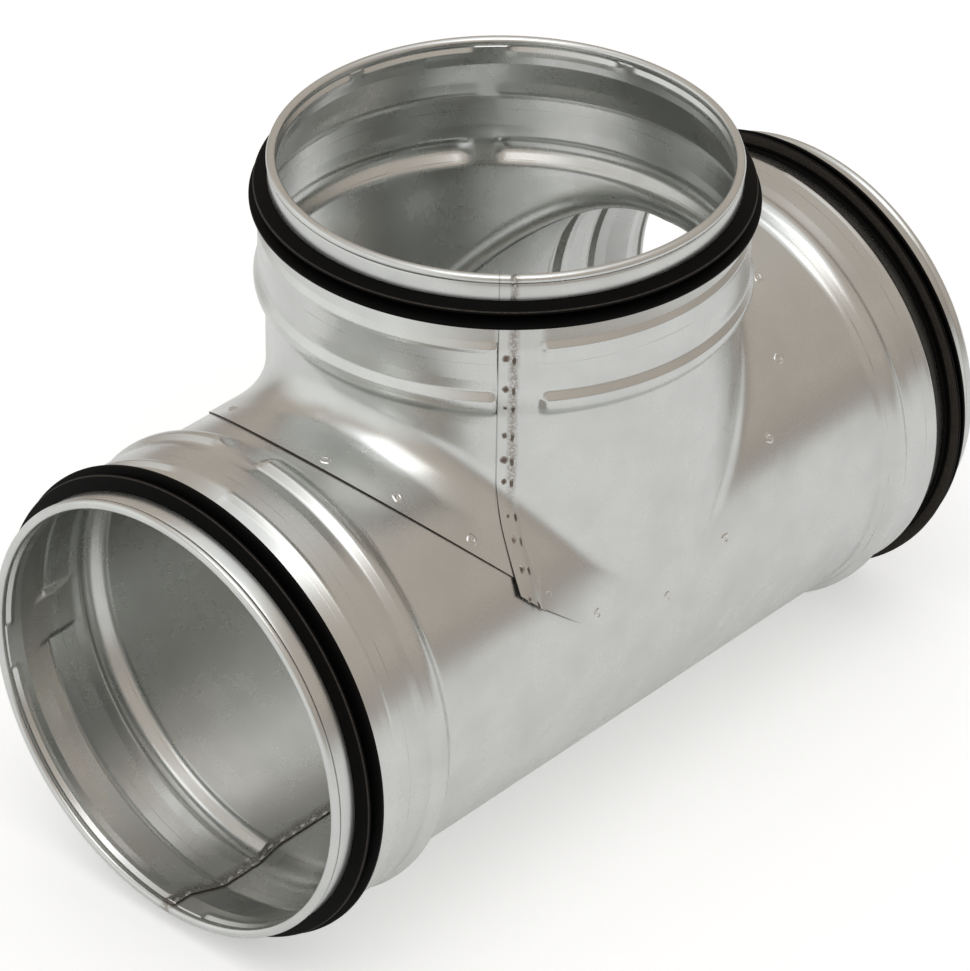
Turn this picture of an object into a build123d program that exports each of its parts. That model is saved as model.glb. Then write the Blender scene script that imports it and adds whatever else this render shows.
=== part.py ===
from build123d import *
from math import atan2, sqrt, tan
import os

# Equal tee for round ventilation duct. The run lies along X and the branch rises along +Z.
# The origin is where the two axes cross. Millimetres throughout.

# Duct and sheet
duct_diameter = 160.0  # bore of the duct that slides over each spigot
slide_clearance = 0.6  # duct to spigot, on the radius
sheet = 0.6  # galvanised sheet gauge

# Spigot section, across: heights between faces of the sheet
spigot_swell = 2.4  # spigot wall above the plain tube
bead_height = 1.4  # stop bead above the spigot wall
seat_depth = 5.4  # seal's seat below the spigot wall
foot_thickness = 1.35  # seal's foot, clamped under the rim's fold
seal_clearance = 0.05  # seal to sheet, on either side

# Spigot section, along the axis from the rim
fold_length = 8.6  # free edge of the fold that clamps the seal
seat_length = 9.6  # foot of the cone between the seat and the spigot wall
cone_length = 15.6  # length of that cone
insertion = 41.5  # how far the duct slides on before the bead stops it
bead_flank = 1.6  # length of the bead's front flank
bead_crown = 2.6  # length of the bead's crown
shoulder_length = 4.5  # slope from the crown down to the plain tube
roll_radius = 1.5  # radius left by the forming rolls

# Branch saddle
flange_reach = 26.0  # flange edge beyond the neck, along the top of the run
flange_low = 3.0  # lowest point of the flange, at the sides of the run
flange_gap = 0.05  # flange to run
weld_lap = 11.0  # overlap of flange and run, along the top of the run
flare_radius = 11.0  # outside radius of the flare between neck and flange
neck_plain = 0.4  # straight neck between the flare and the shoulder, above the run's axis
run_plain = 4.6  # plain tube between the flange's edge and the shoulder

# Lap seams
seam_lap = 6.0  # overlap of the rolled sheet's edges
run_seam = 180.0  # round the run from its top, in degrees
branch_seam = -47.5  # round the branch from the front, in degrees, negative to the left

# Lip seal
front_lip = 1.2  # free height of the lip beside the fold, above the spigot wall
tall_lip = 2.6  # free height of the tall lip, above the spigot wall
lip_land = 1.2  # flat crest of each lip
lip_lean = 1.4  # how far each lip leans back from the rim
lip_root = 1.0  # widening of each lip at its root
lip_pitch = 4.4  # front lip to tall lip
seal_base = 1.6  # height of the base between the lips
seal_tail = 2.6  # base behind the tall lip

# Radii of the sheet's faces, from the duct inwards
spigot_radius = duct_diameter / 2 - slide_clearance
spigot_inside = spigot_radius - sheet
bead_inside = spigot_inside + bead_height
tube_radius = spigot_radius - spigot_swell
tube_inside = tube_radius - sheet
seat_inside = spigot_inside - seat_depth
fold_radius = sheet + foot_thickness / 2 + seal_clearance
rim_radius = seat_inside + 2 * fold_radius
wrap_inside = tube_radius + flange_gap
wrap_outside = wrap_inside + sheet

# Places along the axis of a spigot, from its rim
wall_start = seat_length + cone_length
crown_start = insertion + bead_flank
crown_end = crown_start + bead_crown
shoulder_end = crown_end + shoulder_length
plain_start = shoulder_end + roll_radius

# Lengths of the two tubes from the crossing of their axes
neck_foot = wrap_outside + flare_radius + neck_plain
branch_height = neck_foot + plain_start
half_run = wrap_outside + flange_reach + run_plain + shoulder_end


def roll_points(tube_end):
    """Corners of the sheet's inside face from the plain tube to the spigot wall."""
    return [
        (tube_end, tube_inside),
        (shoulder_end, tube_inside),
        (crown_end, bead_inside),
        (crown_start, bead_inside),
        (insertion, spigot_inside),
    ]


def spigot(tube_end):
    """Rolled end of a tube, rim at X = 0 and tube towards +X, folded back to clamp the seal."""
    corners = roll_points(tube_end) + [(wall_start, spigot_inside), (seat_length, seat_inside)]
    wall = FilletPolyline(corners + [(fold_radius, seat_inside)], radius=roll_radius)
    bend = ThreePointArc(
        (fold_radius, seat_inside),
        (0, seat_inside + fold_radius),
        (fold_radius, rim_radius),
    )
    fold = Line((fold_radius, rim_radius), (fold_length, rim_radius))
    inside = Wire(wall.edges() + bend.edges() + fold.edges())
    return revolve(make_face(inside.offset_2d(sheet, side=Side.RIGHT)), Axis.X)


def seam_layer(tube_end, side):
    """Second layer of sheet all round, on the given side of the wall and rooted in its middle."""
    corners = roll_points(tube_end) + [(wall_start + roll_radius, spigot_inside)]
    face = Wire(FilletPolyline(corners, radius=roll_radius).edges())
    middle = face.offset_2d(sheet / 2, side=Side.RIGHT, closed=False)
    return revolve(make_face(middle.offset_2d(1.5 * sheet, side=side)), Axis.X)


def seam_slab(length):
    """Block as wide as a seam's lap, from the Z axis towards +X."""
    return Box(length, seam_lap, length, align=(Align.MIN, Align.CENTER, Align.CENTER))


def outline_radius(reach, low):
    return (reach + low) / (sqrt(2) - 1)


def outline_prism(reach, low):
    """All that lies above the flange's edge: in side view two 45 degree flanks and an arc."""
    radius = outline_radius(reach, low)
    right = (radius / sqrt(2), radius / sqrt(2) - reach)
    left = (-right[0], right[1])
    arc = ThreePointArc(left, (0, low), right)
    flanks = Polyline(right, (neck_foot + reach, neck_foot), (-neck_foot - reach, neck_foot), left)
    return extrude(Plane.XZ * make_face(arc + flanks), 2 * tube_radius, both=True)


def tee_body(rise):
    """Solid tee whose surface lies a given height above the saddle's inside face."""
    run = Rot(0, 90, 0) * Cylinder(wrap_inside + rise, 2 * half_run)
    neck = Cylinder(tube_inside + rise, neck_foot, align=(Align.CENTER, Align.CENTER, Align.MIN))
    body = run + neck
    mitre = [edge for edge in body.edges() if edge.geom_type == GeomType.BSPLINE]
    return fillet(mitre, flare_radius + sheet - rise)


def saddle_quarter():
    """Quarter of the branch's flared foot, trimmed to the flange, with X and Y positive."""
    corner = Box(2 * half_run, 2 * half_run, 2 * half_run, align=(Align.MIN, Align.MIN, Align.CENTER))
    return (tee_body(sheet) - tee_body(0)) & outline_prism(flange_reach, flange_low) & corner


def run_tube():
    lap = Rot(run_seam, 0, 0) * Rot(0, -90, 0) * seam_slab(2 * half_run)
    left = spigot(half_run) + (seam_layer(half_run, Side.LEFT) & lap)
    left = Pos(-half_run, 0, 0) * left
    hole = outline_prism(flange_reach - weld_lap, flange_low + weld_lap / sqrt(2))
    return left + mirror(left, Plane.YZ) - hole


def branch_saddle():
    """Collar and foot joined at the neck, with the seam's second layer down both."""
    length = branch_height - neck_foot
    stand = Pos(0, 0, branch_height) * Rot(0, 90, 0)
    quarter = saddle_quarter()
    half = [quarter, mirror(quarter, Plane.YZ)]
    foot = half + [mirror(piece, Plane.XZ) for piece in half]
    lap = Rot(0, 0, branch_seam - 90) * seam_slab(2 * branch_height)
    collar_lap = stand * seam_layer(length, Side.RIGHT) & lap
    foot_lap = (tee_body(2 * sheet) - tee_body(sheet / 2)) & outline_prism(flange_reach, flange_low) & lap
    return (stand * spigot(length)).fuse(*foot, collar_lap, foot_lap)


def seal():
    """Double-lip ring, rim at X = 0 as on the spigot, its base laid along the cone."""
    slope = atan2(seat_depth, cone_length)
    stand_off = sheet + seal_clearance
    knee = seat_length - stand_off * tan(slope / 2)
    seat = seat_inside + stand_off
    foot = foot_thickness - seal_clearance

    def underside(place):
        return seat + max(place - knee, 0) * tan(slope)

    front = fold_length + seal_clearance
    points = [(fold_radius, seat), (fold_radius, seat + foot), (front, seat + foot)]
    for place, height in ((front, front_lip), (front + lip_pitch, tall_lip)):
        crest = spigot_radius + height
        back = place + lip_land + lip_root
        points += [
            (place, underside(place) + seal_base),
            (place + lip_lean, crest),
            (place + lip_lean + lip_land, crest),
            (back, underside(back) + seal_base),
        ]
    tail = back + seal_tail
    points += [(tail, underside(tail) + foot), (tail, underside(tail)), (knee, seat)]
    return revolve(make_face(Polyline(points, close=True)), Axis.X)


left_seal = Pos(-half_run, 0, 0) * seal()
nodes = {
    "run_tube": run_tube(),
    "branch_saddle": branch_saddle(),
    "seal_left": left_seal,
    "seal_right": mirror(left_seal, Plane.YZ),
    "seal_branch": Pos(0, 0, branch_height) * Rot(0, 90, 0) * seal(),
}

os.makedirs("parts", exist_ok=True)
for name, solid in nodes.items():
    export_step(solid, f"parts/{name}.step")
    print(name, len(solid.solids()), round(solid.volume, 1))
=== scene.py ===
import math
from functools import lru_cache
import bmesh
import bpy
from mathutils import Matrix, Vector


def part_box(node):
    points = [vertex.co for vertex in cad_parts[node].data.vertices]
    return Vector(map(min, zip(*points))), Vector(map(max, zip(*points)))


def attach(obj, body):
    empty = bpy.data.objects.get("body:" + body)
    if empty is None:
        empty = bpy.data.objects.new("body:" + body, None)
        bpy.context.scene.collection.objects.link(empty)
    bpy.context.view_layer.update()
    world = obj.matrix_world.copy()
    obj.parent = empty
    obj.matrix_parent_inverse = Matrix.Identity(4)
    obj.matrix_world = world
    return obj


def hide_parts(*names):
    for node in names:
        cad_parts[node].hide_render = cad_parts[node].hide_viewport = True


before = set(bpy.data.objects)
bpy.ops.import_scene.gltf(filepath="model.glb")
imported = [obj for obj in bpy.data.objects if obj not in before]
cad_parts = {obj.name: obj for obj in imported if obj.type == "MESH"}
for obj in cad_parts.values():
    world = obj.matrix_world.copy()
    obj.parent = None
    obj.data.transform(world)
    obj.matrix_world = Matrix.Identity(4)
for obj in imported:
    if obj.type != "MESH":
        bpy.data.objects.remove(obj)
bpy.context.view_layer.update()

# equal duct tee: run along X, branch up +Z, origin where the axes cross; sizes in mm
mm = 0.001
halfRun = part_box("run_tube")[1].x / mm
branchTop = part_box("branch_saddle")[1].z / mm
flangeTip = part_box("branch_saddle")[1].x / mm
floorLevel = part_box("seal_left")[0].z
print("frame read: run", round(2 * halfRun), "mm, branch", round(branchTop), "mm")


def smoothStep(low, high, value):
    part = min(max((value - low) / (high - low), 0), 1)
    return part * part * (3 - 2 * part)


def angleGap(a, b):
    return abs((a - b + 180) % 360 - 180)


def linearColour(code):
    parts = [int(code[i:i + 2], 16) / 255 for i in (1, 3, 5)]
    return [c / 12.92 if c < 0.04045 else ((c + 0.055) / 1.055) ** 2.4 for c in parts] + [1]


def addNode(tree, kind, sockets=None, **settings):
    node = tree.nodes.new(kind)
    for name, value in settings.items():
        setattr(node, name, value)
    for name, value in (sockets or {}).items():
        if isinstance(value, bpy.types.NodeSocket):
            tree.links.new(value, node.inputs[name])
        else:
            node.inputs[name].default_value = value
    return node


def newMaterial(name):
    material = bpy.data.materials.new(name)
    material.use_nodes = True
    material.node_tree.nodes.clear()
    return material, material.node_tree


# galvanised sheet: hot-dipped and rolled, a cool bright metal with fine grain, streaks and roll marks;
# sizes in mm, grain and streaks drawn coarser than they are so that they show
# the darkest colour here paints the shadow line along the lap's free edge
zincSheet = {
    "light": "#d7d9d7", "dull": "#ced0ce", "mark": "#8a8883", "shadeLine": "#3b3631", "burnt": "#6e5d52",
    "roughness": (0.25, 0.31), "cloud": 16.0, "grain": 0.8, "streak": 0.6, "stretch": 0.03,
    "streakShare": 0.5, "fineShare": 0.2, "tones": (0.32, 0.68), "waveStrength": 0.06, "waveHeight": 0.3,
    "rollMarks": (30.0, 48.8), "markWidth": 0.22, "markDepth": 0.6, "markBreaks": (0.42, 0.6),
    "wander": 3.2, "wanderReach": 0.9, "burnCore": 0.25, "burnDepth": 0.6, "burnBreaks": (0.3, 0.55),
    "burnFade": 5.0, "shadeLineWidth": (0.1, 0.32), "shadeLineDepth": 0.4,
}
# seams: angles round the tube in degrees, places along it and radii in mm; weld is the burnt line
branchSeam = {
    "angle": -47.4, "left": -49.3, "weld": -45.7, "right": -44.2, "dots": -47.5, "pitch": 9.6,
    "start": 17.3, "weldRadius": 76.4, "edgeRadius": 78.5,
}
runSeam = {"left": 177.9, "right": 181.5, "stitches": 180.6, "pitch": 4.9, "start": 2.0}


def galvanisedSteel(name, turn, rimPlace, weld, weldWidth, burnEnd, lapEdges):
    # turn brings the tube's axis to Z and its seam to -Y
    z = zincSheet
    material, tree = newMaterial(name)
    place = addNode(tree, "ShaderNodeTexCoord").outputs["Object"]
    turned = addNode(tree, "ShaderNodeMapping", {"Vector": place, "Rotation": turn})
    across, side, along = addNode(tree, "ShaderNodeSeparateXYZ", {0: turned.outputs[0]}).outputs
    cloud = addNode(tree, "ShaderNodeTexNoise", {
        "Vector": place, "Scale": 1 / (z["cloud"] * mm), "Detail": 3.0})
    grain = addNode(tree, "ShaderNodeTexNoise", {
        "Vector": place, "Scale": 1 / (z["grain"] * mm), "Detail": 2.0})
    stretched = addNode(tree, "ShaderNodeMapping", {
        "Vector": turned.outputs[0], "Scale": (1, 1, z["stretch"])})
    streak = addNode(tree, "ShaderNodeTexNoise", {
        "Vector": stretched.outputs[0], "Scale": 1 / (z["streak"] * mm), "Detail": 2.0})
    fine = addNode(tree, "ShaderNodeMix", {
        "Factor": z["streakShare"], "A": grain.outputs["Fac"], "B": streak.outputs["Fac"]},
        data_type="FLOAT")
    mottle = addNode(tree, "ShaderNodeMix", {
        "Factor": z["fineShare"], "A": cloud.outputs["Fac"], "B": fine.outputs[0]}, data_type="FLOAT")
    low, high = z["tones"]
    spread = addNode(tree, "ShaderNodeMapRange", {
        "Value": mottle.outputs[0], "From Min": low, "From Max": high})
    colour = addNode(tree, "ShaderNodeMix", {
        "Factor": spread.outputs[0], 6: linearColour(z["dull"]), 7: linearColour(z["light"])},
        data_type="RGBA")
    # thin marks left by the forming rolls, broken up by the cloud
    depth = addNode(tree, "ShaderNodeMath", {0: along}, operation="ABSOLUTE").outputs[0]
    low, high = z["markBreaks"]
    broken = addNode(tree, "ShaderNodeMapRange", {
        "Value": cloud.outputs["Fac"], "From Min": low, "From Max": high})
    for mark in z["rollMarks"]:
        off = addNode(tree, "ShaderNodeMath", {0: depth, 1: (rimPlace - mark) * mm}, operation="SUBTRACT")
        off = addNode(tree, "ShaderNodeMath", {0: off.outputs[0]}, operation="ABSOLUTE")
        line = addNode(tree, "ShaderNodeMapRange", {
            "Value": off.outputs[0], "From Min": 0.0, "From Max": z["markWidth"] * mm,
            "To Min": z["markDepth"], "To Max": 0.0})
        line = addNode(tree, "ShaderNodeMath", {
            0: line.outputs[0], 1: broken.outputs[0]}, operation="MULTIPLY")
        colour = addNode(tree, "ShaderNodeMix", {
            "Factor": line.outputs[0], 6: colour.outputs[2], 7: linearColour(z["mark"])}, data_type="RGBA")
    # zinc burnt brown beside the seam's weld, wandering and patchy
    wander = addNode(tree, "ShaderNodeTexNoise", {
        "Vector": place, "Scale": 1 / (z["wander"] * mm), "Detail": 2.0})
    wobble = addNode(tree, "ShaderNodeMapRange", {
        "Value": wander.outputs["Fac"],
        "To Min": (-weld - z["wanderReach"]) * mm, "To Max": (z["wanderReach"] - weld) * mm})
    off = addNode(tree, "ShaderNodeMath", {0: across, 1: wobble.outputs[0]}, operation="ADD")
    off = addNode(tree, "ShaderNodeMath", {0: off.outputs[0]}, operation="ABSOLUTE")
    burn = addNode(tree, "ShaderNodeMapRange", {
        "Value": off.outputs[0], "From Min": z["burnCore"] * weldWidth * mm, "From Max": weldWidth * mm,
        "To Min": z["burnDepth"], "To Max": 0.0})
    low, high = z["burnBreaks"]
    patchy = addNode(tree, "ShaderNodeMapRange", {
        "Value": grain.outputs["Fac"], "From Min": low, "From Max": high})
    burn = addNode(tree, "ShaderNodeMath", {0: burn.outputs[0], 1: patchy.outputs[0]}, operation="MULTIPLY")
    # only on the seam's side of the tube, and fading out at burnEnd
    near = addNode(tree, "ShaderNodeMath", {0: side, 1: 0.0}, operation="LESS_THAN")
    fade = addNode(tree, "ShaderNodeMapRange", {
        "Value": along, "From Min": (burnEnd - z["burnFade"]) * mm,
        "From Max": (burnEnd + z["burnFade"]) * mm})
    near = addNode(tree, "ShaderNodeMath", {0: near.outputs[0], 1: fade.outputs[0]}, operation="MULTIPLY")
    burn = addNode(tree, "ShaderNodeMath", {0: burn.outputs[0], 1: near.outputs[0]}, operation="MULTIPLY")
    colour = addNode(tree, "ShaderNodeMix", {
        "Factor": burn.outputs[0], 6: colour.outputs[2], 7: linearColour(z["burnt"])}, data_type="RGBA")
    # painted shadow: dark lines where the lap's edges stand off, standing in for the shade under them
    low, high = z["shadeLineWidth"]
    for edge in lapEdges:
        off = addNode(tree, "ShaderNodeMath", {0: across, 1: edge * mm}, operation="SUBTRACT")
        off = addNode(tree, "ShaderNodeMath", {0: off.outputs[0]}, operation="ABSOLUTE")
        line = addNode(tree, "ShaderNodeMapRange", {
            "Value": off.outputs[0], "From Min": low * mm, "From Max": high * mm,
            "To Min": z["shadeLineDepth"], "To Max": 0.0})
        line = addNode(tree, "ShaderNodeMath", {
            0: line.outputs[0], 1: near.outputs[0]}, operation="MULTIPLY")
        colour = addNode(tree, "ShaderNodeMix", {
            "Factor": line.outputs[0], 6: colour.outputs[2], 7: linearColour(z["shadeLine"])}, data_type="RGBA")
    low, high = z["roughness"]
    gloss = addNode(tree, "ShaderNodeMapRange", {"Value": spread.outputs[0], "To Min": high, "To Max": low})
    bump = addNode(tree, "ShaderNodeBump", {
        "Height": mottle.outputs[0], "Strength": z["waveStrength"], "Distance": z["waveHeight"] * mm})
    shader = addNode(tree, "ShaderNodeBsdfPrincipled", {
        "Base Color": colour.outputs[2], "Metallic": 1.0, "Roughness": gloss.outputs[0],
        "Normal": bump.outputs[0]})
    addNode(tree, "ShaderNodeOutputMaterial", {"Surface": shader.outputs[0]})
    return material


# EPDM rubber: extruded, near black and matt, faintly dusty; a pale colour paints the highlights and sheen
# on the lips
sealRubber = {
    "colour": "#060505", "dust": "#0d0c0b", "paintedSheen": "#524d47", "roughness": 0.5, "gloss": 0.05,
    "grain": 0.7, "bumpStrength": 0.15, "bumpHeight": 0.2,
}


def epdmRubber(name, colour, dust):
    material, tree = newMaterial(name)
    place = addNode(tree, "ShaderNodeTexCoord").outputs["Object"]
    grain = addNode(tree, "ShaderNodeTexNoise", {
        "Vector": place, "Scale": 1 / (sealRubber["grain"] * mm), "Detail": 3.0})
    colour = addNode(tree, "ShaderNodeMix", {
        "Factor": grain.outputs["Fac"], 6: linearColour(colour), 7: linearColour(dust)},
        data_type="RGBA")
    bump = addNode(tree, "ShaderNodeBump", {
        "Height": grain.outputs["Fac"], "Strength": sealRubber["bumpStrength"],
        "Distance": sealRubber["bumpHeight"] * mm})
    shader = addNode(tree, "ShaderNodeBsdfPrincipled", {
        "Base Color": colour.outputs[2], "Roughness": sealRubber["roughness"],
        "Specular IOR Level": sealRubber["gloss"], "Normal": bump.outputs[0]})
    addNode(tree, "ShaderNodeOutputMaterial", {"Surface": shader.outputs[0]})
    return material


# plain metals with a cloudy tone: sheared edges, dark partly from the cut steel and partly as painted shade
# of the gap under them, weld nuggets, burnt stitches
def cloudyMetal(name, dark, light, size, roughness):
    material, tree = newMaterial(name)
    place = addNode(tree, "ShaderNodeTexCoord").outputs["Object"]
    cloud = addNode(tree, "ShaderNodeTexNoise", {"Vector": place, "Scale": 1 / (size * mm), "Detail": 3.0})
    colour = addNode(tree, "ShaderNodeMix", {
        "Factor": cloud.outputs["Fac"], 6: linearColour(dark), 7: linearColour(light)}, data_type="RGBA")
    shader = addNode(tree, "ShaderNodeBsdfPrincipled", {
        "Base Color": colour.outputs[2], "Metallic": 1.0, "Roughness": roughness})
    addNode(tree, "ShaderNodeOutputMaterial", {"Surface": shader.outputs[0]})
    return material


# mm from the middle of the branch's seam to its weld and to the lap's free edge
seamOff = branchSeam["weldRadius"] * math.radians(branchSeam["weld"] - branchSeam["angle"])
lapOff = branchSeam["edgeRadius"] * math.radians(branchSeam["left"] - branchSeam["angle"])
branchZinc = galvanisedSteel(
    "galvanised_steel_branch", (0, 0, math.radians(-branchSeam["angle"])), branchTop,
    weld=seamOff, weldWidth=2.0, burnEnd=62.0, lapEdges=(lapOff,))
runZinc = galvanisedSteel(
    "galvanised_steel_run", Matrix(((0, 1, 0), (0, 0, 1), (1, 0, 0))).to_euler(), halfRun,
    weld=0.0, weldWidth=3.2, burnEnd=-2 * halfRun, lapEdges=())
# sheared edge: dark cut steel, and painted shade for the gap beneath the sheet's edge
cutEdgeAndShade = cloudyMetal("sheared_steel_edge_and_painted_shade", "#2f2a25", "#5b544c", 2.0, 0.55)
nuggetZinc = cloudyMetal("spot_weld_zinc", "#bdbcb9", "#ebebe9", 0.8, 0.22)
heatedZinc = cloudyMetal("heated_weld_zinc", "#8d857d", "#b7b1aa", 0.9, 0.4)
burntZinc = cloudyMetal("burnt_weld_zinc", "#453c35", "#8b8178", 0.9, 0.45)
blackRubber = epdmRubber("epdm_rubber", sealRubber["colour"], sealRubber["dust"])
# pale rubber that paints the lips' highlights and sheen
sheenPaintedRubber = epdmRubber("epdm_rubber_painted_sheen", sealRubber["paintedSheen"], sealRubber["dust"])
print("materials made")

mergeReach = 0.005 * mm  # points nearer than this are one


def deselectAll():
    if bpy.context.object and bpy.context.object.mode != "OBJECT":
        bpy.ops.object.mode_set(mode="OBJECT")
    bpy.ops.object.select_all(action="DESELECT")


def selectPiece(piece):
    deselectAll()
    piece.select_set(True)
    bpy.context.view_layer.objects.active = piece


def editPiece(piece):
    selectPiece(piece)
    bpy.ops.object.mode_set(mode="EDIT")
    bpy.ops.mesh.select_all(action="SELECT")


def columnAngles(count, spots):
    # angles round a tube, closer together at the spots: (angle, half width, how much denser)
    steps = 7200
    places = [360 * i / steps - 180 for i in range(steps)]
    weights = [
        1 + sum(more * math.exp(-(angleGap(place, spot) / half) ** 2) for spot, half, more in spots)
        for place in places]
    total, passed, angles = sum(weights), 0.0, []
    for angle, weight in zip(places, weights):
        if len(angles) < count and passed >= total * len(angles) / count:
            angles.append(angle)
        passed += weight
    return angles


def drawRings(name, rows, angles, place):
    # a circle pulled out ring by ring; place(row, angle) says where each point of a ring lies, in mm
    deselectAll()
    bpy.ops.mesh.primitive_circle_add(vertices=len(angles), radius=mm)
    piece = bpy.context.object
    piece.name = piece.data.name = name
    known = {}
    editPiece(piece)
    for row in range(rows):
        if row:
            bpy.ops.mesh.extrude_region_move()
        mesh = bmesh.from_edit_mesh(piece.data)
        for point in [v for v in mesh.verts if v.select]:
            if row:
                angle = known.pop(tuple(round(c, 7) for c in point.co))
            else:
                turn = math.atan2(point.co.x, -point.co.y) / (2 * math.pi)
                angle = angles[round(turn * len(angles)) % len(angles)]
            point.co = Vector(place(row, angle)) * mm
            known[tuple(round(c, 7) for c in point.co)] = angle
        bmesh.update_edit_mesh(piece.data)
    return piece


def drawPatch(name, rows, columns, place):
    # a flat grid laid over a surface; place(row, column) says where each point lies, in mm
    deselectAll()
    bpy.ops.mesh.primitive_grid_add(x_subdivisions=columns - 1, y_subdivisions=rows - 1, size=2)
    piece = bpy.context.object
    piece.name = piece.data.name = name
    editPiece(piece)
    mesh = bmesh.from_edit_mesh(piece.data)
    for point in mesh.verts:
        row = round((point.co.y + 1) / 2 * (rows - 1))
        column = round((point.co.x + 1) / 2 * (columns - 1))
        point.co = Vector(place(row, column)) * mm
    bmesh.update_edit_mesh(piece.data)
    return piece


def faceTowards(piece, near, towards):
    # normals all one way round; the face nearest to a point looks in the given direction
    editPiece(piece)
    bpy.ops.mesh.remove_doubles(threshold=mergeReach)
    bpy.ops.mesh.normals_make_consistent(inside=False)
    mesh = bmesh.from_edit_mesh(piece.data)
    face = min(mesh.faces, key=lambda f: (f.calc_center_median() - Vector(near) * mm).length)
    if face.normal.dot(Vector(towards)) < 0:
        bpy.ops.mesh.flip_normals()
    bpy.ops.object.mode_set(mode="OBJECT")


def applyModifier(piece, kind, **settings):
    selectPiece(piece)
    modifier = piece.modifiers.new(kind.lower(), kind)
    for name, value in settings.items():
        setattr(modifier, name, value)
    bpy.ops.object.modifier_apply(modifier=modifier.name)


def giveMaterials(piece, *materials):
    for material in materials:
        piece.data.materials.append(material)


def finishPiece(piece, slot, *nodes, degrees=40):
    selectPiece(piece)
    bpy.ops.object.shade_smooth_by_angle(angle=math.radians(degrees))
    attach(piece, "root")
    if nodes:
        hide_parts(*nodes)
    print(piece.name, len(piece.data.polygons), "faces")


# rolled end of a tube: places along it from the rim, radii of the sheet's shown face, roundings
spigotRoll = {
    "sheet": 0.6, "tubeRadius": 76.4, "seatRadius": 73.4, "wallRadius": 78.8, "coneStart": 9.6,
    "wallStart": 25.2, "beadStart": 38.6, "hem": ((8.6, 76.05), (3.7, 76.05)), "ridgeEnd": 6.9,
    "curlMiddle": (1.6, 74.75), "curlSize": (1.6, 1.65), "curlOpening": 36, "curlSteps": 14,
    "corners": (
        (3.4, 74.0, 0.3), (5.0, 72.95, 0.8), (6.9, 73.4, 1.0), (9.6, 73.4, 1.5), (18.2, 76.4, 3.0),
        (22.8, 77.65, 1.4), (24.7, 78.95, 0.5), (26.0, 78.7, 0.8), (36.0, 78.75, 1.0), (40.4, 78.35, 2.6),
        (43.0, 80.15, 0.8), (45.7, 80.2, 4.6), (50.2, 76.4, 4.6)),
    "end": (52.0, 76.4), "roundSteps": 4, "rowLength": 3.0, "plainShoulder": (40.5, 52.0),
    "creaseEnd": 27.5, "wallDip": 0.3, "dipStart": (26.0, 30.0), "dipEnd": (31.0, 37.0),
    "lowWall": ((0.0, 73.4), (9.6, 73.4), (17.5, 76.15), (25.2, 77.55), (33.0, 78.45), (38.0, 78.8)),
}


def roundCorners(points, roundings, steps):
    rounded = [points[0]]
    for before, corner, after, radius in zip(points, points[1:], points[2:], roundings):
        inward, outward = (before - corner).normalized(), (after - corner).normalized()
        reach = radius / math.tan(inward.angle(outward) / 2)
        start, end = corner + inward * reach, corner + outward * reach
        for step in range(steps + 1):
            t = step / steps
            rounded.append(start * (1 - t) ** 2 + corner * 2 * t * (1 - t) + end * t * t)
    return rounded + [points[-1]]


def fillIn(points, longest):
    filled = [points[0]]
    for start, end in zip(points, points[1:]):
        pieces = max(1, math.ceil((end - start).length / longest))
        filled += [start.lerp(end, i / pieces) for i in range(1, pieces + 1)]
    return filled


def curlPoints():
    s = spigotRoll
    sweep = 360 - 2 * s["curlOpening"]
    for step in range(s["curlSteps"] + 1):
        angle = math.radians(s["curlOpening"] + sweep * step / s["curlSteps"])
        yield Vector((
            s["curlMiddle"][0] + s["curlSize"][0] * math.cos(angle),
            s["curlMiddle"][1] + s["curlSize"][1] * math.sin(angle)))


hemRows = [Vector(p) for p in spigotRoll["hem"]] + list(curlPoints())
rolledCorners = [hemRows[-1]] + [Vector(c[:2]) for c in spigotRoll["corners"]] + [Vector(spigotRoll["end"])]
rolledRows = roundCorners(rolledCorners, [c[2] for c in spigotRoll["corners"]], spigotRoll["roundSteps"])
section = hemRows + fillIn(rolledRows[1:], spigotRoll["rowLength"])

# where the forming rolls leave off and resume, in degrees, and how gently they do each
rollGaps = {
    "branch": {
        "ridge": (
            (-50.8, -37.6, 1.2, 2.4), (130.8, 140.8, 3.0, 3.0), (171.5, 175.9, 2.0, 2.0),
            (97.2, 102.4, 2.0, 2.0)),
        "crease": ((133.0, 139.4, 4.0, 4.0),), "wall": ((-49.9, -38.9, 1.2, 2.4),),
        "bead": ((-49.9, -38.9, 1.2, 2.4), (133.4, 141.3, 5.0, 5.0))},
    "run": {
        "ridge": ((90.0, 102.8, 2.0, 2.0), (178.6, -169.2, 1.2, 3.0), (-4.0, 12.0, 2.4, 4.0)),
        "crease": ((179.0, -160.0, 1.2, 10.0), (-5.7, 11.5, 2.4, 5.0)), "wall": ((90.4, 102.6, 1.6, 1.6),),
        "bead": ((179.0, -158.0, 1.2, 12.0), (-3.3, 10.0, 2.4, 6.0))},
}


def rollDepth(angle, gaps):
    depth = 1.0
    for start, end, leave, resume in gaps:
        into = smoothStep(-leave / 2, leave / 2, (angle - start + 180) % 360 - 180)
        past = smoothStep(-resume / 2, resume / 2, (angle - end + 180) % 360 - 180)
        depth *= 1 - into * (1 - past)
    return depth


def alongLine(line, along):
    for (start, low), (end, high) in zip(line, line[1:]):
        if along <= end:
            return low + (high - low) * max(along - start, 0) / (end - start)
    return line[-1][1]


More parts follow.
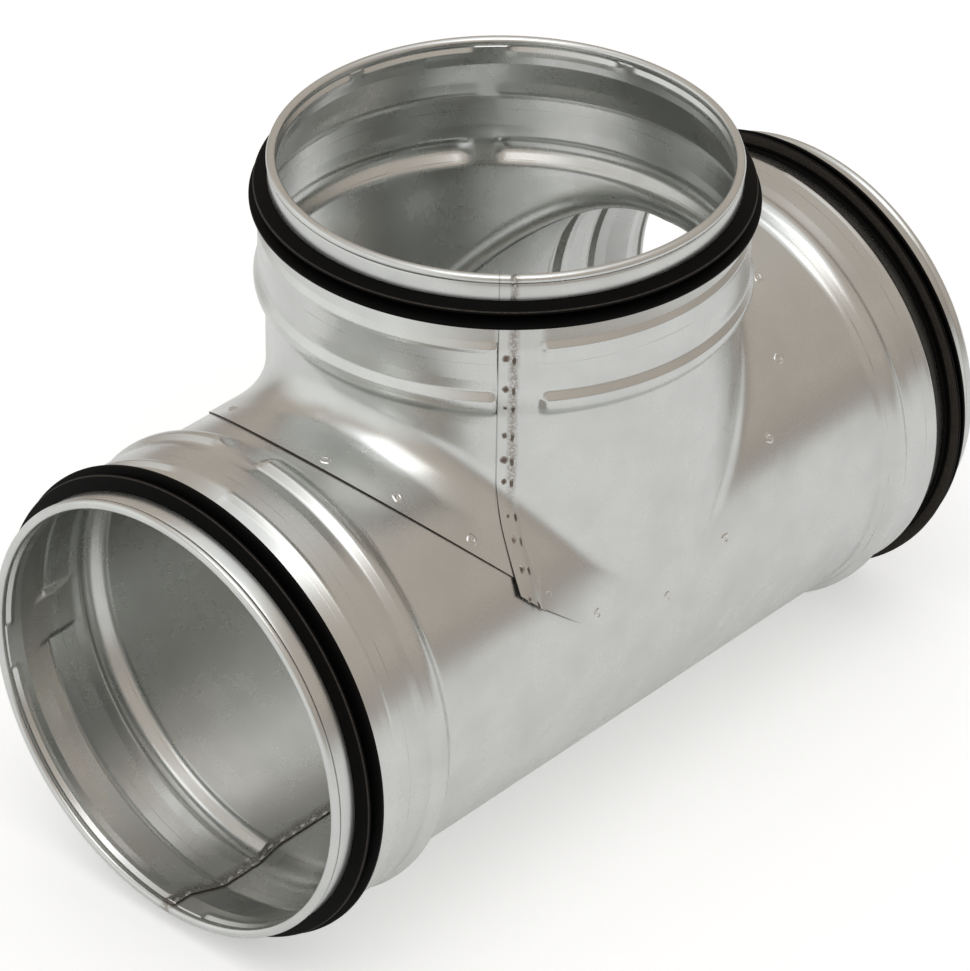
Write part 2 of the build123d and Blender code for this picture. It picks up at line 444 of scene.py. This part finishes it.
def rolledRadius(row, angle, gaps):
    s = spigotRoll
    along, radius = section[row]
    if row < len(hemRows) or along > s["plainShoulder"][1]:
        return radius
    if along < s["ridgeEnd"]:
        return s["seatRadius"] + (radius - s["seatRadius"]) * rollDepth(angle, gaps["ridge"])
    if along >= s["beadStart"]:
        drop = smoothStep(*s["plainShoulder"], along)
        plain = s["wallRadius"] - (s["wallRadius"] - s["tubeRadius"]) * drop
        return plain + (radius - plain) * rollDepth(angle, gaps["bead"])
    if along < s["creaseEnd"]:
        cone = alongLine(((s["coneStart"], s["seatRadius"]), (s["wallStart"], s["wallRadius"])), along)
        radius = cone + (radius - cone) * rollDepth(angle, gaps["crease"])
    low = alongLine(s["lowWall"], along)
    low -= s["wallDip"] * smoothStep(*s["dipStart"], along) * (1 - smoothStep(*s["dipEnd"], along))
    return low + (radius - low) * rollDepth(angle, gaps["wall"])


# run tube: half of it, then its mirror image
runColumns = columnAngles(250, [
    (90.3, 1.5, 4), (102.6, 1.5, 4), (179.0, 1.5, 4), (-169.0, 1.5, 4), (-4.5, 2.0, 3), (11.0, 2.0, 3)])
midRow = 18.0  # mm between rows of the plain tube
midRun = fillIn([section[-1], Vector((halfRun, spigotRoll["tubeRadius"]))], midRow)[1:]
runRows = len(section) + len(midRun)


def runPoint(row, angle, lift=0.0):
    if row < len(section):
        along, radius = section[row].x, rolledRadius(row, angle, rollGaps["run"])
    else:
        along, radius = midRun[row - len(section)]
    turn = math.radians(angle)
    return along - halfRun, (radius - lift) * math.sin(turn), (radius - lift) * math.cos(turn)


runTube = drawRings("run_tube_rolled", runRows, runColumns, runPoint)
giveMaterials(runTube, runZinc, cutEdgeAndShade)
faceTowards(runTube, (0, 0, -spigotRoll["tubeRadius"]), (0, 0, 1))
applyModifier(runTube, "MIRROR", use_axis=(True, False, False), merge_threshold=0.01 * mm)
sheetWall = {"thickness": spigotRoll["sheet"] * mm, "offset": -1, "material_offset_rim": 1}
lapWall = {**sheetWall, "thickness": 0.5 * mm}
applyModifier(runTube, "SOLIDIFY", **sheetWall)

# hole under the branch: two 45 degree flanks and an arc, in side view
holeCut = {"reach": 15.0, "low": 10.8, "top": 90.0, "arcSteps": 24, "depth": 200.0}


def outlineHeight(x, reach, low):
    radius = (reach + low) / (math.sqrt(2) - 1)
    if abs(x) > radius / math.sqrt(2):
        return abs(x) - reach
    return low + radius - math.sqrt(radius * radius - x * x)


def makeHoleCutter():
    h = holeCut
    widest = h["top"] + h["reach"]
    deselectAll()
    bpy.ops.mesh.primitive_plane_add(size=mm)
    cutter = bpy.context.object
    editPiece(cutter)
    bpy.ops.mesh.delete(type="ONLY_FACE")
    bpy.ops.mesh.select_all(action="SELECT")
    bpy.ops.mesh.merge(type="CENTER")
    mesh = bmesh.from_edit_mesh(cutter.data)
    mesh.verts.ensure_lookup_table()
    place = Vector((-widest, -h["depth"], h["top"]))
    mesh.verts[0].co = place * mm
    for step in range(1, h["arcSteps"] + 1):
        x = widest * (2 * step / h["arcSteps"] - 1)
        target = Vector((x, -h["depth"], outlineHeight(x, h["reach"], h["low"])))
        bpy.ops.mesh.extrude_region_move(TRANSFORM_OT_translate={"value": (target - place) * mm})
        place = target
    bpy.ops.mesh.select_all(action="SELECT")
    bpy.ops.mesh.edge_face_add()
    bpy.ops.mesh.extrude_region_move(TRANSFORM_OT_translate={"value": (0, 2 * h["depth"] * mm, 0)})
    bpy.ops.mesh.select_all(action="SELECT")
    bpy.ops.mesh.normals_make_consistent(inside=False)
    bpy.ops.object.mode_set(mode="OBJECT")
    return cutter


cutter = makeHoleCutter()
applyModifier(runTube, "BOOLEAN", object=cutter, operation="DIFFERENCE", solver="EXACT")
bpy.data.objects.remove(cutter)
finishPiece(runTube, "galvanised_steel", "run_tube")

# run seam: the sheet's second edge lies inside, along the bottom
seamLap = {"columns": 9, "lift": 0.55, "wander": 0.2, "wanderLength": 7.0, "hemOverlap": 3}


def runLapPoint(row, column):
    part = column / (seamLap["columns"] - 1)
    angle = runSeam["left"] + (runSeam["right"] - runSeam["left"]) * part
    back = row >= runRows
    x, y, z = runPoint(2 * runRows - 1 - row if back else row, angle, seamLap["lift"])
    wave = seamLap["wander"] * math.sin(x / seamLap["wanderLength"])
    inner = 0 < column < seamLap["columns"] - 1
    return (-x if back else x), (y + wave if inner else y), z


firstLapRow = len(hemRows) - seamLap["hemOverlap"]
lapRows = 2 * (runRows - firstLapRow)
runLap = drawPatch(
    "run_seam_lap", lapRows, seamLap["columns"], lambda row, column: runLapPoint(row + firstLapRow, column))
giveMaterials(runLap, runZinc, burntZinc)
faceTowards(runLap, (0, 0, -spigotRoll["tubeRadius"]), (0, 0, 1))
applyModifier(runLap, "SOLIDIFY", **lapWall)
finishPiece(runLap, "galvanised_steel")

# branch saddle: rolled collar, then a flared foot laid on the run
saddle = {
    "neckFoot": 89.05, "wrapRadius": 77.05, "flareCrotch": 11.6, "flareSide": 24.0, "low": 3.0,
    "neckRows": 4, "flareRows": 14, "flangeRows": 14, "overhang": 5.0, "overhangEnd": -23.0,
    "cornerLift": 0.9, "bend": 5.25, "bendPower": 1.5, "notchAngle": -46.2, "notchWidth": 0.55,
    "notchDepth": 0.6, "leastAlpha": 0.001,
}
saddle["reach"] = flangeTip - saddle["wrapRadius"] - spigotRoll["sheet"]
collarRows = sum(branchTop - row.x > saddle["neckFoot"] for row in section)


def runCurve(alpha, cosine):
    # the run's surface cut by an upright plane through the branch axis, at height angle alpha
    reach = saddle["wrapRadius"] / math.hypot(math.cos(alpha) * cosine, math.sin(alpha))
    return Vector((reach * math.cos(alpha), reach * math.sin(alpha)))


def nearestAlpha(centre, cosine):
    low, high = saddle["leastAlpha"], math.pi / 2 - saddle["leastAlpha"]
    for _ in range(60):
        third = (high - low) / 3
        lower, upper = runCurve(low + third, cosine), runCurve(high - third, cosine)
        if (lower - centre).length < (upper - centre).length:
            high -= third
        else:
            low += third
    return (low + high) / 2


@lru_cache(maxsize=None)
def flareCentre(cosine):
    # a circle that touches the neck and the run: radius, height, where it touches
    radius = saddle["flareCrotch"] + (saddle["flareSide"] - saddle["flareCrotch"]) * cosine
    out = spigotRoll["tubeRadius"] + radius
    low, high = 0.0, 150.0
    for _ in range(40):
        height = (low + high) / 2
        touch = nearestAlpha(Vector((out, height)), cosine)
        inside = (out * cosine) ** 2 + height ** 2 < saddle["wrapRadius"] ** 2
        if inside or (runCurve(touch, cosine) - Vector((out, height))).length < radius:
            low = height
        else:
            high = height
    return radius, height, touch


@lru_cache(maxsize=None)
def edgeAlpha(sine, cosine, drop):
    low, high = saddle["leastAlpha"], math.pi / 2 - saddle["leastAlpha"]
    for _ in range(50):
        alpha = (low + high) / 2
        r, z = runCurve(alpha, cosine)
        if z > outlineHeight(r * sine, saddle["reach"], saddle["low"]) - drop:
            high = alpha
        else:
            low = alpha
    return alpha


def flangeDrop(angle):
    # the sheet to the right of the seam hangs a little lower
    start = branchSeam["weld"] + saddle["bend"]
    if not start <= angle < saddle["overhangEnd"]:
        return 0.0
    return saddle["overhang"] * (saddle["overhangEnd"] - angle) / (saddle["overhangEnd"] - start)


def seamBend(row):
    # the seam swings to the right as it runs down the flare
    part = max(row - collarRows - saddle["neckRows"], 0) / (saddle["flareRows"] + saddle["flangeRows"] - 1)
    return saddle["bend"] * part ** saddle["bendPower"]


def footPoint(row, angle, drop):
    s = saddle
    turn = math.radians(angle)
    sine, cosine = round(abs(math.sin(turn)), 6), round(abs(math.cos(turn)), 6)
    radius, height, touch = flareCentre(cosine)
    if row < s["neckRows"]:
        top = max(s["neckFoot"], height)
        return Vector((spigotRoll["tubeRadius"], top + (height - top) * (row + 1) / s["neckRows"]))
    row -= s["neckRows"]
    if row < s["flareRows"]:
        centre = Vector((spigotRoll["tubeRadius"] + radius, height))
        away = runCurve(touch, cosine) - centre
        end = math.atan2(away.y, away.x) % (2 * math.pi)
        swing = math.pi + (end - math.pi) * (row + 1) / s["flareRows"]
        return centre + Vector((math.cos(swing), math.sin(swing))) * radius
    part = (row - s["flareRows"] + 1) / s["flangeRows"]
    point = runCurve(touch + (edgeAlpha(sine, cosine, drop) - touch) * part, cosine)
    if drop:  # the loose corner stands off the run
        point.x += s["cornerLift"] * part ** 3 * drop / s["overhang"]
    return point


def saddlePoint(row, angle, drop=None):
    s = saddle
    turn = math.radians(angle)
    if row < collarRows:
        along, radius = section[row].x, rolledRadius(row, angle, rollGaps["branch"])
        if row < len(hemRows):
            notch = s["notchDepth"] * max(0, 1 - angleGap(angle, s["notchAngle"]) / s["notchWidth"])
            along, radius = along + notch, radius - 0.5 * notch
        height = branchTop - along
    else:
        radius, height = footPoint(row - collarRows, angle, flangeDrop(angle) if drop is None else drop)
    return Vector((radius * math.sin(turn), -radius * math.cos(turn), height))


saddleRows = collarRows + saddle["neckRows"] + saddle["flareRows"] + saddle["flangeRows"]
saddleColumns = columnAngles(330, [
    (-46.5, 3.0, 5), (-40.5, 3.0, 4), (133.3, 1.2, 4), (140.5, 1.5, 4), (171.5, 1.0, 2), (175.9, 1.0, 2)])
branchSaddle = drawRings("branch_saddle_pressed", saddleRows, saddleColumns, saddlePoint)
giveMaterials(branchSaddle, branchZinc, cutEdgeAndShade)
faceTowards(branchSaddle, (0, -spigotRoll["tubeRadius"], saddle["neckFoot"]), (0, 1, 0))
applyModifier(branchSaddle, "SOLIDIFY", **sheetWall)
finishPiece(branchSaddle, "galvanised_steel", "branch_saddle")


def sheetNormal(point, angle, down):
    around = Vector((math.cos(math.radians(angle)), math.sin(math.radians(angle)), 0))
    normal = around.cross(down).normalized()
    return -normal if normal.dot(Vector((point.x, point.y, abs(point.z)))) < 0 else normal


def saddleFrame(angle, length):
    # point, outward normal and way down, on the saddle's outside at a length from the lap's start
    rows = range(lapStart, saddleRows)
    points = [saddlePoint(row, angle + seamBend(row), saddle["overhang"]) for row in rows]
    for start, end in zip(points, points[1:]):
        step = (end - start).length
        if length <= step:
            break
        length -= step
    point = start.lerp(end, min(length / step, 1))
    normal = sheetNormal(point, angle, end - start)
    return point + normal * spigotRoll["sheet"], normal, (end - start).normalized()


# branch seam: the right-hand sheet laps over the left-hand one, down to the flange
lapStart = next(i for i, row in enumerate(section) if i >= len(hemRows) and row.x > branchSeam["start"])
branchLap = {"columns": 13, "step": 0.5, "rampStart": -46.2, "clear": 0.02}


def branchLapPoint(row, column):
    part = column / (branchLap["columns"] - 1)
    angle = branchSeam["left"] + (branchSeam["right"] - branchSeam["left"]) * part
    step = branchLap["step"] * (1 - smoothStep(branchLap["rampStart"], branchSeam["right"], angle))
    angle += seamBend(row)
    point = saddlePoint(row, angle, saddle["overhang"])
    above = saddlePoint(max(row - 1, lapStart), angle, saddle["overhang"])
    below = saddlePoint(min(row + 1, saddleRows - 1), angle, saddle["overhang"])
    normal = sheetNormal(point, angle, below - above)
    return point + normal * (spigotRoll["sheet"] + step + branchLap["clear"])


branchStrip = drawPatch(
    "branch_seam_lap", saddleRows - lapStart, branchLap["columns"],
    lambda row, column: branchLapPoint(row + lapStart, column))
giveMaterials(branchStrip, branchZinc, cutEdgeAndShade)
seamTurn = math.radians(branchSeam["angle"])
seamSide = Vector((math.sin(seamTurn), -math.cos(seamTurn), 0))
faceTowards(branchStrip, seamSide * spigotRoll["tubeRadius"] + Vector((0, 0, saddle["neckFoot"])), seamSide)
applyModifier(branchStrip, "SOLIDIFY", **lapWall)
finishPiece(branchStrip, "galvanised_steel")

# welds, as rings of radius and height: a nugget is a raised ring about a dimple, a stitch is a low bead
nuggetRings = (
    (2.1, -0.1), (1.8, 0.08), (1.5, 0.24), (1.2, 0.26), (0.9, 0.1), (0.6, 0.03), (0.35, 0.1), (0.12, 0.18))
stitchRings = ((1.0, -0.1), (0.9, 0.06), (0.6, 0.13), (0.2, 0.16))
weldSides = 14


def drawWeld(name, rings, point, normal, lengthways, size=(1.0, 1.0), uneven=0.14):
    sideways = normal.cross(lengthways).normalized()
    lengthways = sideways.cross(normal)

    def place(row, angle):
        radius, height = rings[row]
        turn = math.radians(angle)
        radius *= 1 + uneven * math.sin(3 * turn + point.x) * math.cos(turn - point.z)
        return (point + sideways * radius * size[0] * math.sin(turn)
                + lengthways * radius * size[1] * math.cos(turn) + normal * height)

    piece = drawRings(name, len(rings), [360 * i / weldSides - 180 for i in range(weldSides)], place)
    bpy.ops.mesh.edge_face_add()
    bpy.ops.mesh.select_all(action="DESELECT")
    bpy.ops.mesh.select_non_manifold()
    bpy.ops.mesh.edge_face_add()
    bpy.ops.mesh.select_all(action="SELECT")
    bpy.ops.mesh.normals_make_consistent(inside=False)
    bpy.ops.object.mode_set(mode="OBJECT")
    return piece


def darkenCore(piece, point, reach):
    # a burnt spot is darkest at its middle
    giveMaterials(piece, heatedZinc, burntZinc)
    for face in piece.data.polygons:
        face.material_index = int((face.center / mm - point).length < reach)


def joinPieces(pieces):
    deselectAll()
    for piece in pieces:
        piece.select_set(True)
    bpy.context.view_layer.objects.active = pieces[0]
    bpy.ops.object.join()
    return bpy.context.object


# spot welds round the flange: angle from the front, and how far in from the edge
spotWelds = {
    "front": (
        (-82.0, 4.0), (-67.8, 4.6), (-53.8, 4.0), (-38.6, 4.4), (-26.4, 3.6), (-3.1, 4.0), (18.6, 6.5),
        (39.1, 5.4), (52.8, 4.0), (68.4, 6.0)),
    "back": (
        (98.0, 5.0), (113.0, 4.4), (127.5, 4.0), (142.0, 5.0), (156.5, 4.2), (176.0, 4.6), (-163.0, 4.0),
        (-146.0, 5.2), (-129.0, 4.4), (-112.0, 5.0)),
    "alphaStep": 0.002,
}


def flangeSpot(angle, inset):
    turn = math.radians(angle)
    sine, cosine = round(abs(math.sin(turn)), 6), round(abs(math.cos(turn)), 6)
    alpha = edge = edgeAlpha(sine, cosine, flangeDrop(angle))
    while (runCurve(alpha, cosine) - runCurve(edge, cosine)).length < inset:
        alpha += spotWelds["alphaStep"]
    radius, height = runCurve(alpha, cosine)
    point = Vector((radius * math.sin(turn), -radius * math.cos(turn), height))
    normal = Vector((0, point.y, point.z)).normalized()
    return point + normal * spigotRoll["sheet"], normal


nuggets = []
for angle, inset in spotWelds["front"] + spotWelds["back"]:
    point, normal = flangeSpot(angle, inset)
    nuggets.append(drawWeld("spot_welds", nuggetRings, point, normal, Vector((1, 0, 0))))
spots = joinPieces(nuggets)
giveMaterials(spots, nuggetZinc)
finishPiece(spots, "galvanised_steel", degrees=60)

# seam welds down the branch: uneven burnt dots on the lap and dashes along its buried edge
seamWelds = {
    "first": 10.0, "last": 98.0, "stagger": 1.3, "staggerTurn": 2.3, "core": 0.6,
    "dot": 1.25, "dotLength": 1.2, "dotSizes": (0.85, 0.25), "sizeTurn": 1.7,
    "dash": (0.6, 1.9), "dashShift": 0.8, "dashLift": 0.9,
}
stitches = []
length, count = seamWelds["first"], 0
while length < seamWelds["last"]:
    shift = seamWelds["stagger"] * math.sin(seamWelds["staggerTurn"] * count)
    point, normal, down = saddleFrame(branchSeam["dots"], length + shift)
    lift = normal * branchLap["step"]
    least, swing = seamWelds["dotSizes"]
    size = seamWelds["dot"] * (least + swing * math.sin(seamWelds["sizeTurn"] * count + 1))
    stitches.append(drawWeld(
        "branch_seam_stitches", stitchRings, point + lift, normal, down,
        (size, seamWelds["dotLength"] * size)))
    darkenCore(stitches[-1], point + lift, size * seamWelds["core"])
    point, normal, down = saddleFrame(branchSeam["weld"], length + shift + seamWelds["dashShift"])
    stitches.append(drawWeld(
        "branch_seam_stitches", stitchRings, point + lift * seamWelds["dashLift"], normal, down,
        seamWelds["dash"]))
    darkenCore(stitches[-1], point + lift, seamWelds["dash"][1] * seamWelds["core"])
    length, count = length + branchSeam["pitch"], count + 1
branchStitches = joinPieces(stitches)
finishPiece(branchStitches, "galvanised_steel", degrees=60)

# stitches along the run's seam, inside, wandering a little and leaning
runStitch = {"bead": (0.65, 1.5), "wander": 0.35, "wanderTurn": 1.9, "lean": 0.25}
stitches = []
count = int((2 * halfRun - 2 * runSeam["start"]) / runSeam["pitch"])
for i in range(count):
    x = -halfRun + runSeam["start"] + runSeam["pitch"] * (i + 0.5)
    along = halfRun - abs(x)
    row = next((k for k in range(len(hemRows), len(section)) if section[k].x >= along), len(section))
    angle = runSeam["stitches"] + runStitch["wander"] * math.sin(runStitch["wanderTurn"] * i)
    _, y, z = runPoint(row, angle, seamLap["lift"])
    stitches.append(drawWeld(
        "run_seam_stitches", stitchRings, Vector((x, y, z)), Vector((0, 0, 1)),
        Vector((1, runStitch["lean"], 0)), runStitch["bead"]))
runStitches = joinPieces(stitches)
giveMaterials(runStitches, nuggetZinc)
finishPiece(runStitches, "galvanised_steel", degrees=60)

# lip seals: foot under the hem, base along the cone, two soft lips; the zones along and radii given last
# are where highlights are painted pale on the lips
lipSeal = {
    "foot": ((1.325, 74.05), (1.325, 75.35)),
    "lips": (
        (8.65, 75.35), (8.65, 75.65), (10.05, 80.6), (11.25, 80.6), (10.85, 76.13), (13.05, 76.9),
        (14.45, 82.0), (15.65, 82.0), (15.25, 77.67), (17.85, 78.28), (17.85, 76.98)),
    "rounding": (0.1, 0.42, 0.42, 0.5, 0.5, 0.42, 0.42, 0.5, 0.4), "steps": 4, "columns": 200,
    "knee": (9.49, 74.05), "paintedSheen": ((9.6, 10.4, 79.9, 81.0), (15.2, 15.75, 78.4, 81.9)),
}
lipRows = roundCorners([Vector(p) for p in lipSeal["lips"]], lipSeal["rounding"], lipSeal["steps"])
sealRing = [Vector(p) for p in lipSeal["foot"]] + lipRows + [Vector(lipSeal["knee"])]
sealColumns = [360 * i / lipSeal["columns"] - 180 for i in range(lipSeal["columns"])]


def makeSeal(name, node, place, spot):
    piece = drawRings(name, len(sealRing) + 1, sealColumns, lambda row, angle: place(
        sealRing[row % len(sealRing)], math.radians(angle)))
    editPiece(piece)
    bpy.ops.mesh.remove_doubles(threshold=mergeReach)
    bpy.ops.mesh.normals_make_consistent(inside=False)
    bpy.ops.object.mode_set(mode="OBJECT")
    giveMaterials(piece, blackRubber, sheenPaintedRubber)
    # painted highlight: the front lip's crest and the tall lip's back are coloured pale where light would
    # catch them
    for face in piece.data.polygons:
        along, radius = spot(face.center / mm)
        for first, last, low, high in lipSeal["paintedSheen"]:
            if first < along < last and low < radius < high:
                face.material_index = 1
    finishPiece(piece, "seal_rubber", node)


makeSeal(
    "seal_left_lips", "seal_left", lambda p, t: (p.x - halfRun, p.y * math.sin(t), p.y * math.cos(t)),
    lambda v: (v.x + halfRun, math.hypot(v.y, v.z)))
makeSeal(
    "seal_right_lips", "seal_right", lambda p, t: (halfRun - p.x, p.y * math.sin(t), p.y * math.cos(t)),
    lambda v: (halfRun - v.x, math.hypot(v.y, v.z)))
makeSeal(
    "seal_branch_lips", "seal_branch",
    lambda p, t: (p.y * math.sin(t), -p.y * math.cos(t), branchTop - p.x),
    lambda v: (branchTop - v.z, math.hypot(v.x, v.y)))

# studio, in metres: pale floor that keeps its shadow, white surround, an overhead box, a warm grey tent
studio = {
    "floorColour": "#f4f3f1", "floorSize": 8.0, "floorGlow": 0.4, "mirrorGlow": 0.2,
    "worldColour": "#ffffff", "worldStrength": 0.6,
    "boxSize": 1.3, "boxWatts": 6.3, "boxPlace": (-0.55, -0.45, 1.7), "boxTarget": (0, 0, 0.02),
    "tentRadius": 2.2, "tentHeight": 4.2, "tentSides": 64, "tentColour": "#c4bab0",
    "tentFoot": "#978d84", "footFade": (0.05, 0.7), "tentTop": "#f4f2ee", "tentFade": (2.6, 4.2),
    "tentSide": "#fdfdfb", "sideWay": (-0.85, 0.53), "sideFade": (0.9, 1.8), "sideTop": (1.4, 2.6),
}


def seenRays(tree):
    rays = addNode(tree, "ShaderNodeLightPath").outputs
    seen = addNode(tree, "ShaderNodeMath", {
        0: rays["Is Camera Ray"], 1: rays["Is Glossy Ray"]}, operation="MAXIMUM")
    return addNode(tree, "ShaderNodeMath", {
        0: seen.outputs[0], 1: rays["Is Transmission Ray"]}, operation="MAXIMUM").outputs[0]


def makeFloor():
    deselectAll()
    bpy.ops.mesh.primitive_plane_add(size=studio["floorSize"], location=(0, 0, floorLevel))
    floor = bpy.context.object
    floor.name = "floor"
    material, tree = newMaterial("pale_floor")
    paint = addNode(tree, "ShaderNodeBsdfDiffuse", {"Color": linearColour(studio["floorColour"])})
    strength = addNode(tree, "ShaderNodeMath", {
        0: seenRays(tree), 1: studio["mirrorGlow"]}, operation="MULTIPLY")
    direct = addNode(tree, "ShaderNodeLightPath").outputs["Is Camera Ray"]
    strength = addNode(tree, "ShaderNodeMix", {
        "Factor": direct, "A": strength.outputs[0], "B": studio["floorGlow"]}, data_type="FLOAT")
    glow = addNode(tree, "ShaderNodeEmission", {
        "Color": linearColour(studio["worldColour"]), "Strength": strength.outputs[0]})
    both = addNode(tree, "ShaderNodeAddShader", {0: paint.outputs[0], 1: glow.outputs[0]})
    addNode(tree, "ShaderNodeOutputMaterial", {"Surface": both.outputs[0]})
    floor.data.materials.append(material)


def makeTent():
    # warm grey studio walls that only the metal mirrors, darker at the foot and paler towards the top
    deselectAll()
    bpy.ops.mesh.primitive_circle_add(
        vertices=studio["tentSides"], radius=studio["tentRadius"], location=(0, 0, floorLevel))
    tent = bpy.context.object
    tent.name = "studio_tent"
    editPiece(tent)
    bpy.ops.mesh.extrude_region_move(TRANSFORM_OT_translate={"value": (0, 0, studio["tentHeight"])})
    bpy.ops.object.mode_set(mode="OBJECT")
    material, tree = newMaterial("tent_cloth")
    place = addNode(tree, "ShaderNodeTexCoord").outputs["Object"]
    height = addNode(tree, "ShaderNodeSeparateXYZ", {0: place}).outputs["Z"]
    low, high = studio["tentFade"]
    fade = addNode(tree, "ShaderNodeMapRange", {"Value": height, "From Min": low, "From Max": high})
    colour = addNode(tree, "ShaderNodeMix", {
        "Factor": fade.outputs[0], 6: linearColour(studio["tentColour"]),
        7: linearColour(studio["tentTop"])}, data_type="RGBA")
    low, high = studio["footFade"]
    foot = addNode(tree, "ShaderNodeMapRange", {
        "Value": height, "From Min": low, "From Max": high, "To Min": 1.0, "To Max": 0.0})
    colour = addNode(tree, "ShaderNodeMix", {
        "Factor": foot.outputs[0], 6: colour.outputs[2], 7: linearColour(studio["tentFoot"])},
        data_type="RGBA")
    # the left-hand wall is white, up to head height
    way = addNode(tree, "ShaderNodeVectorMath", {
        0: place, 1: studio["sideWay"] + (0.0,)}, operation="DOT_PRODUCT")
    low, high = studio["sideFade"]
    side = addNode(tree, "ShaderNodeMapRange", {
        "Value": way.outputs["Value"], "From Min": low, "From Max": high})
    low, high = studio["sideTop"]
    under = addNode(tree, "ShaderNodeMapRange", {
        "Value": height, "From Min": low, "From Max": high, "To Min": 1.0, "To Max": 0.0})
    side = addNode(tree, "ShaderNodeMath", {0: side.outputs[0], 1: under.outputs[0]}, operation="MULTIPLY")
    colour = addNode(tree, "ShaderNodeMix", {
        "Factor": side.outputs[0], 6: colour.outputs[2], 7: linearColour(studio["tentSide"])},
        data_type="RGBA")
    glow = addNode(tree, "ShaderNodeEmission", {"Color": colour.outputs[2], "Strength": 1.0})
    addNode(tree, "ShaderNodeOutputMaterial", {"Surface": glow.outputs[0]})
    tent.data.materials.append(material)
    tent.visible_camera = tent.visible_diffuse = tent.visible_shadow = False


def makeWorld():
    world = bpy.data.worlds.new("studio_white")
    bpy.context.scene.world = world
    world.use_nodes = True
    tree = world.node_tree
    tree.nodes.clear()
    strength = addNode(tree, "ShaderNodeMix", {
        "Factor": seenRays(tree), "A": studio["worldStrength"], "B": 1.0}, data_type="FLOAT")
    sky = addNode(tree, "ShaderNodeBackground", {
        "Color": linearColour(studio["worldColour"]), "Strength": strength.outputs[0]})
    addNode(tree, "ShaderNodeOutputWorld", {"Surface": sky.outputs[0]})


def makeBox():
    lamp = bpy.data.lights.new("key_box", "AREA")
    lamp.shape, lamp.size, lamp.energy = "SQUARE", studio["boxSize"], studio["boxWatts"]
    box = bpy.data.objects.new("key_box", lamp)
    bpy.context.scene.collection.objects.link(box)
    box.location = studio["boxPlace"]
    aim = Vector(studio["boxTarget"]) - Vector(studio["boxPlace"])
    box.rotation_euler = aim.to_track_quat("-Z", "Y").to_euler()


makeFloor()
makeWorld()
makeBox()
makeTent()
print("studio set")

# camera at the photograph's angle
view = {
    "azimuth": -48.2503, "elevation": 34.0668, "roll": 1.0006, "distance": 1708.37, "lens": 191.80,
    "target": (-6.514, 0.666, 15.276),
}


def makeCamera():
    camera = bpy.data.cameras.new("camera")
    camera.sensor_fit, camera.sensor_width, camera.lens = "HORIZONTAL", 36.0, view["lens"]
    camera.clip_start, camera.clip_end = 0.05, 50.0
    eye = bpy.data.objects.new("camera", camera)
    bpy.context.scene.collection.objects.link(eye)
    a, e, roll = (math.radians(view[k]) for k in ("azimuth", "elevation", "roll"))
    back = Vector((math.sin(a) * math.cos(e), -math.cos(a) * math.cos(e), math.sin(e)))
    level = Vector((math.cos(a), math.sin(a), 0))
    upright = back.cross(level)
    right = level * math.cos(roll) + upright * math.sin(roll)
    up = upright * math.cos(roll) - level * math.sin(roll)
    eye.matrix_world = Matrix((right, up, back)).transposed().to_4x4()
    eye.location = Vector(view["target"]) * mm + back * view["distance"] * mm
    bpy.context.scene.camera = eye


makeCamera()
bpy.context.scene.view_settings.view_transform = "Standard"
print("camera set")
